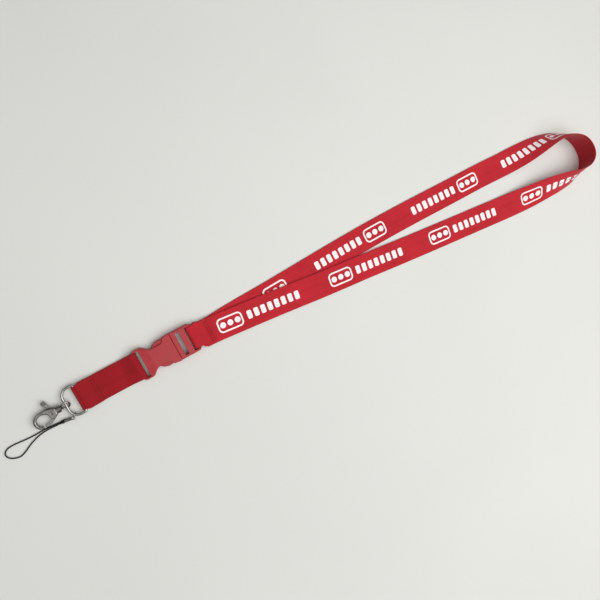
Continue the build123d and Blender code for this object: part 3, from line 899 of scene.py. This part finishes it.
def grown(name, tree, values):
    """The plain mesh that a node tree makes with these inputs."""
    holder = bpy.data.objects.new(name, bpy.data.meshes.new(name + "_seed"))
    bpy.context.scene.collection.objects.link(holder)
    modifier = holder.modifiers.new("made", "NODES")
    modifier.node_group = tree
    for item in tree.interface.items_tree:
        if item.item_type == "SOCKET" and item.in_out == "INPUT" and item.name in values:
            modifier[item.identifier] = values[item.name]
    made = plain_mesh(holder, name)
    if not made.polygons:
        raise RuntimeError(f"{name}: the node tree made no faces")
    return made


# ---------------------------------------------------------------- operators


class LANYARD_OT_camera(bpy.types.Operator):
    """Set the camera above the buckle, tilted along the tape"""

    bl_idname = "lanyard.camera"
    bl_label = "Set camera"

    def execute(self, context):
        eye = Vector((0.0112, 0.0582, 0.4060))
        look = Vector((0.2211, -0.1720, -0.9600)).normalized()
        side = Vector((0.8555, -0.4384, 0.2756))
        side = (side - look * side.dot(look)).normalized()
        up = side.cross(look)
        data = bpy.data.cameras.new("camera")
        data.lens = context.scene.lanyard_stage.focal
        data.clip_start = 0.01
        camera = bpy.data.objects.new("camera", data)
        camera.matrix_world = Matrix.Translation(eye) @ Matrix((side, up, -look)).transposed().to_4x4()
        context.scene.collection.objects.link(camera)
        context.scene.camera = camera
        return {"FINISHED"}


class LANYARD_OT_string(bpy.types.Operator):
    """Make the phone string's loop and its knot"""

    bl_idname = "lanyard.string"
    bl_label = "Make phone string"

    def execute(self, context):
        own = context.scene.lanyard_string
        black = string_material("black_braid", own.black, 6.0, own.full / own.thick * 1.1)
        line = round_cord("phone_string", STRING_ROUTE, own.thick / 2, 4, 10)
        string = show("phone_string", line, black, "string", "phone_cord")
        knot = self.knot(own, string_material("black_knot", own.black, 6.0, 26.0))
        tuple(STRING_EXIT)
        return {"FINISHED"}

    def knot(self, own, material):
        """Tight turns of the string round its own two ends."""
        steps = 8 * own.knot_turns
        long = own.thick * 0.8 * own.knot_turns
        wide = own.knot_wide
        places = []
        for n in range(steps + 1):
            angle = 2 * math.pi * n / 8
            spot = ((n / steps - 0.5) * long, wide * math.cos(angle), wide * math.sin(angle))
            places.append(STRING_KNOT + Vector(spot))
        turn = round_cord("string_knot_line", places, own.thick / 2 * 0.85, 3, 12)
        holder = bpy.data.objects.new("string_knot_line", turn)
        bpy.context.scene.collection.objects.link(holder)
        mesh = plain_mesh(holder, "string_knot")
        return show("string_knot", mesh, material, "string", "cord_bead")


class LANYARD_OT_neck_tape(bpy.types.Operator):
    """Make the long printed neck tape"""

    bl_idname = "lanyard.neck_tape"
    bl_label = "Make neck tape"

    def execute(self, context):
        own = context.scene.lanyard_webbing
        cloth = webbing_material("neck_webbing", own.dye, own.groove_shade_and_dark_dye, own.yarn)
        stations = neck_stations(own.width / 2)
        mesh = tape_mesh("neck_tape", stations, own.thick)
        tape = show("neck_tape", mesh, cloth, "neck", "neck_strap")
        return {"FINISHED"}


class LANYARD_OT_neck_print(bpy.types.Operator):
    """Print badges and rows of bars along the neck tape"""

    bl_idname = "lanyard.neck_print"
    bl_label = "Print neck tape"

    def execute(self, context):
        own = context.scene.lanyard_print
        cloth = context.scene.lanyard_webbing
        ink = ink_material(own.ink, cloth.dye, cloth.yarn)
        # the tree's inputs have the settings' labels
        labels = own.bl_rna.properties
        values = {labels[field].name: getattr(own, field) for field in type(own).__annotations__}
        mesh = grown("neck_print", motif_tree(), {**values, "Material": ink})
        self.refine(mesh)
        self.lay(mesh, own, neck_stations(cloth.width / 2), 0.47 * cloth.thick + PRINT_LIFT)
        show("neck_print", mesh, ink, "neck")
        return {"FINISHED"}

    def refine(self, mesh):
        """Cuts long edges, so that the print can bend with the tape."""
        flat = bmesh.new()
        flat.from_mesh(mesh)
        bmesh.ops.remove_doubles(flat, verts=flat.verts, dist=0.000001)
        for _ in range(4):
            edges = [e for e in flat.edges if abs(e.verts[0].co.x - e.verts[1].co.x) > PRINT_STEP]
            if not edges:
                break
            bmesh.ops.subdivide_edges(flat, edges=edges, cuts=1)
            bmesh.ops.triangulate(flat, faces=[f for f in flat.faces if len(f.verts) > 4])
        flat.to_mesh(mesh)
        flat.free()

    def lay(self, mesh, own, stations, above):
        """Moves the flat strip onto the tape's outer face, and keeps its place on the tape as its UV map."""
        places = []
        for vertex in mesh.vertices:
            on = own.first + vertex.co.x
            share_past = min(1.0, max(0.0, (on - BEND_FROM) / BEND_LONG))
            on += own.slack * share_past * share_past * (3 - 2 * share_past)
            places.append((on, vertex.co.y))
        for vertex, (on, aside) in zip(mesh.vertices, places):
            low, high = 0, len(stations) - 1
            while high - low > 1:
                n = (low + high) // 2
                low, high = (n, high) if stations[n].along <= on else (low, n)
            a, b = stations[low], stations[high]
            part = (on - a.along) / (b.along - a.along)
            vertex.co = a.at(aside, above).lerp(b.at(aside, above), part)
        uv = mesh.uv_layers.new(name="tape")
        for loop in mesh.loops:
            uv.data[loop.index].uv = places[loop.vertex_index]
        mesh.update()


def easing(first, last, first_x, last_x):
    """A size that eases from one value to another between two places along X."""

    def size_at(x):
        t = min(1.0, max(0.0, (x - first_x) / (last_x - first_x)))
        return first + (last - first) * t * t * (3 - 2 * t)

    return size_at


class LANYARD_OT_anchor_fold(bpy.types.Operator):
    """Make the plain fold of webbing round the buckle's end bar"""

    bl_idname = "lanyard.anchor_fold"
    bl_label = "Make anchor fold"

    def execute(self, context):
        own = context.scene.lanyard_webbing
        cloth = webbing_material("anchor_webbing", own.dye, own.groove_shade_and_dark_dye, own.yarn)
        half_at = easing(BAR_HALF, own.width / 2, 0.0241, 0.0253)
        stations = side_stations(ANCHOR_FOLD, half_at, drift=easing(0.0, ANCHOR_ASIDE, 0.0225, 0.0300))
        mesh = tape_mesh("anchor_fold", stations, own.thick)
        fold = show("anchor_fold", mesh, cloth, "neck", "neck_anchor_loop")
        return {"FINISHED"}


class LANYARD_OT_short_strap(bpy.types.Operator):
    """Make the short strap between the buckle and the D-ring"""

    bl_idname = "lanyard.short_strap"
    bl_label = "Make short strap"

    def execute(self, context):
        own = context.scene.lanyard_webbing
        cloth = webbing_material("strap_webbing", own.strap_dye, own.strap_groove_shade_and_dark_dye, own.yarn)
        half_at = easing(RING_HALF, own.width / 2, -0.0657, -0.0636)
        band = side_stations(STRAP_BAND, half_at, closed=True)
        tail = side_stations(STRAP_TAIL, half_at)
        joined = bmesh.new()
        joined.from_mesh(tape_mesh("strap_band", band, own.thick, closed=True, dent=self.dent))
        joined.from_mesh(tape_mesh("strap_tail", tail, own.thick))
        mesh = bpy.data.meshes.new("short_strap_webbing")
        joined.to_mesh(mesh)
        joined.free()
        strap = show(
            "short_strap_webbing", mesh, cloth, "short_strap", "short_strap", "short_strap_tail"
        )
        return {"FINISHED"}

    def dent(self, place):
        """The slack top layer: pressed in a little near the buckle, with a low ridge behind."""
        if place.z < 0.0010 or not -0.0520 <= place.x <= -0.0262:
            return place
        far = ((place.x + 0.0330) / 0.0050) ** 2 + ((place.y - 0.0030) / 0.0065) ** 2
        ridge = ((place.x + 0.0395) / 0.0040) ** 2 + ((place.y + 0.0020) / 0.0090) ** 2
        sink = -0.00065 * math.exp(-far) + 0.00030 * math.exp(-ridge)
        return place + Vector((0.0, 0.0, sink))


class LANYARD_OT_stitches(bpy.types.Operator):
    """Sew the stitch rows of the anchor fold and the short strap"""

    bl_idname = "lanyard.stitches"
    bl_label = "Sew stitches"

    def execute(self, context):
        own = context.scene.lanyard_webbing
        thread = thread_material(own.thread)
        tree = stitch_tree()
        rows = (
            ("anchor_stitches_outer", "anchor_stitch_outer", "neck"),
            ("anchor_stitches_inner", "anchor_stitch_inner", "neck"),
            ("strap_stitches", "short_strap_stitch", "short_strap"),
        )
        for name, node, body in rows:
            low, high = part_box(node)
            count = int((high.y - low.y) / own.stitch_pitch)
            mesh = grown(
                name,
                tree,
                {
                    "Count": count,
                    "Pitch": own.stitch_pitch,
                    "Stitch": own.stitch_long,
                    "Thread": own.thread_thick,
                    "Material": thread,
                },
            )
            middle = (low + high) / 2
            aside = ANCHOR_ASIDE if body == "neck" else 0.0
            mesh.transform(Matrix.Translation((middle.x, middle.y + aside, low.z + STITCH_LIFT)))
            show(name, mesh, thread, body, node)
        return {"FINISHED"}


class LANYARD_OT_buckle(bpy.types.Operator):
    """Finish the moulded halves of the buckle"""

    bl_idname = "lanyard.buckle"
    bl_label = "Finish buckle"

    def execute(self, context):
        own = context.scene.lanyard_buckle
        shell = plastic_material("moulded_plastic", own.plastic, own.rough, own.grain)
        arms = plastic_material("moulded_arms", own.arms, own.rough, own.grain)
        for node in ("buckle_socket", "plug_body"):
            finish_node(node, shell)
        for node in ("plug_arm_left", "plug_arm_right"):
            finish_node(node, arms)
        return {"FINISHED"}


class LANYARD_OT_metal(bpy.types.Operator):
    """Finish the D-ring, the hook, the jump ring and the string's crimp"""

    bl_idname = "lanyard.metal"
    bl_label = "Finish metal"

    def execute(self, context):
        own = context.scene.lanyard_metal
        wire = metal_material("bent_wire", own.wire, own.dark, own.rough * 0.8, 0.35)
        cast = metal_material("plated_casting", own.plate, own.dark, own.rough, 0.75)
        steel = metal_material("spring_steel", own.dark, own.wire, own.rough * 1.2, 0.5)
        for node in ("d_ring", "jump_ring", "swivel_eye"):
            finish_node(node, wire)
        for node in ("hook_body", "hook_gate", "cord_crimp"):
            finish_node(node, cast)
        for node in ("gate_pin", "gate_spring"):
            finish_node(node, steel)
        return {"FINISHED"}


class LANYARD_OT_stage(bpy.types.Operator):
    """Lay the table top and set the lamps"""

    bl_idname = "lanyard.stage"
    bl_label = "Set stage"

    def execute(self, context):
        own = context.scene.lanyard_stage
        top = bpy.data.meshes.new("table_top")
        far = 3.0
        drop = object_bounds()[0][2] - TABLE_DROP
        corners = [(-far, -far, drop), (far, -far, drop), (far, far, drop), (-far, far, drop)]
        top.from_pydata(corners, [], [(0, 1, 2, 3)])
        material, tree, shader = new_material("table_top", Roughness=0.6, Specular_IOR_Level=0.25)
        patches = placed(tree, effect("mottle"), {"Vector": object_place(tree), "Scale": 3.0})
        tinted(tree, shader, patches["Value"], own.floor, [0.95 * part for part in own.floor])
        top.materials.append(material)
        table = bpy.data.objects.new("table_top", top)
        context.scene.collection.objects.link(table)
        table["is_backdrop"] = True
        self.lamp("key_lamp", own.key, KEY_SIZE, KEY_PLACE)
        self.lamp("fill_lamp", own.fill, FILL_SIZE, FILL_PLACE)
        world = bpy.data.worlds.new("room")
        world.use_nodes = True
        sky = world.node_tree
        back = sky.nodes["Background"]
        way = add(sky, "ShaderNodeTexCoord").outputs["Generated"]
        height = add(sky, "ShaderNodeSeparateXYZ", {0: way}).outputs[2]
        lift = add(
            sky, "ShaderNodeMapRange", {0: height, 1: 0.10, 2: 0.70}, interpolation_type="SMOOTHSTEP"
        )
        tint = blended(sky, lift.outputs[0], SKY_LOW, SKY_HIGH)
        sky.links.new(tint, back.inputs["Color"])
        back.inputs["Strength"].default_value = own.room
        context.scene.world = world
        context.scene.view_settings.view_transform = "Standard"
        return {"FINISHED"}

    def lamp(self, name, power, size, place):
        """A soft square lamp that looks at the middle of the lanyard."""
        data = bpy.data.lights.new(name, "AREA")
        data.energy = power
        data.size = size
        lamp = bpy.data.objects.new(name, data)
        aim = LAMP_AIM - place
        lamp.matrix_world = Matrix.Translation(place) @ aim.to_track_quat("-Z", "Y").to_matrix().to_4x4()
        bpy.context.scene.collection.objects.link(lamp)


class LANYARD_PT_sidebar(bpy.types.Panel):
    """The lanyard's settings and makers"""

    bl_idname = "LANYARD_PT_sidebar"
    bl_label = "Lanyard"
    bl_space_type = "VIEW_3D"
    bl_region_type = "UI"
    bl_category = "Lanyard"

    def draw(self, context):
        for name, settings in SETTINGS.items():
            box = self.layout.box()
            box.label(text=settings.__doc__)
            for field in settings.__annotations__:
                box.prop(getattr(context.scene, name), field)
        for maker in MAKERS:
            self.layout.operator(maker.bl_idname)


SETTINGS = {
    "lanyard_webbing": LanyardWebbing,
    "lanyard_print": LanyardPrint,
    "lanyard_buckle": LanyardBuckle,
    "lanyard_metal": LanyardMetal,
    "lanyard_string": LanyardString,
    "lanyard_stage": LanyardStage,
}
MAKERS = (
    LANYARD_OT_camera,
    LANYARD_OT_string,
    LANYARD_OT_neck_tape,
    LANYARD_OT_neck_print,
    LANYARD_OT_anchor_fold,
    LANYARD_OT_short_strap,
    LANYARD_OT_stitches,
    LANYARD_OT_buckle,
    LANYARD_OT_metal,
    LANYARD_OT_stage,
)


def register():
    """Makes the settings, makers and sidebar known to Blender."""
    for name, settings in SETTINGS.items():
        bpy.utils.register_class(settings)
        setattr(bpy.types.Scene, name, bpy.props.PointerProperty(type=settings))
    for maker in (*MAKERS, LANYARD_PT_sidebar):
        bpy.utils.register_class(maker)


def unregister():
    """Takes them away again."""
    for maker in reversed((*MAKERS, LANYARD_PT_sidebar)):
        bpy.utils.unregister_class(maker)
    for name, settings in SETTINGS.items():
        delattr(bpy.types.Scene, name)
        bpy.utils.unregister_class(settings)


def main():
    """Makes the lanyard in order."""
    register()
    for maker in MAKERS:
        getattr(bpy.ops.lanyard, maker.bl_idname.removeprefix("lanyard."))()


if __name__ == "__main__":
    main()
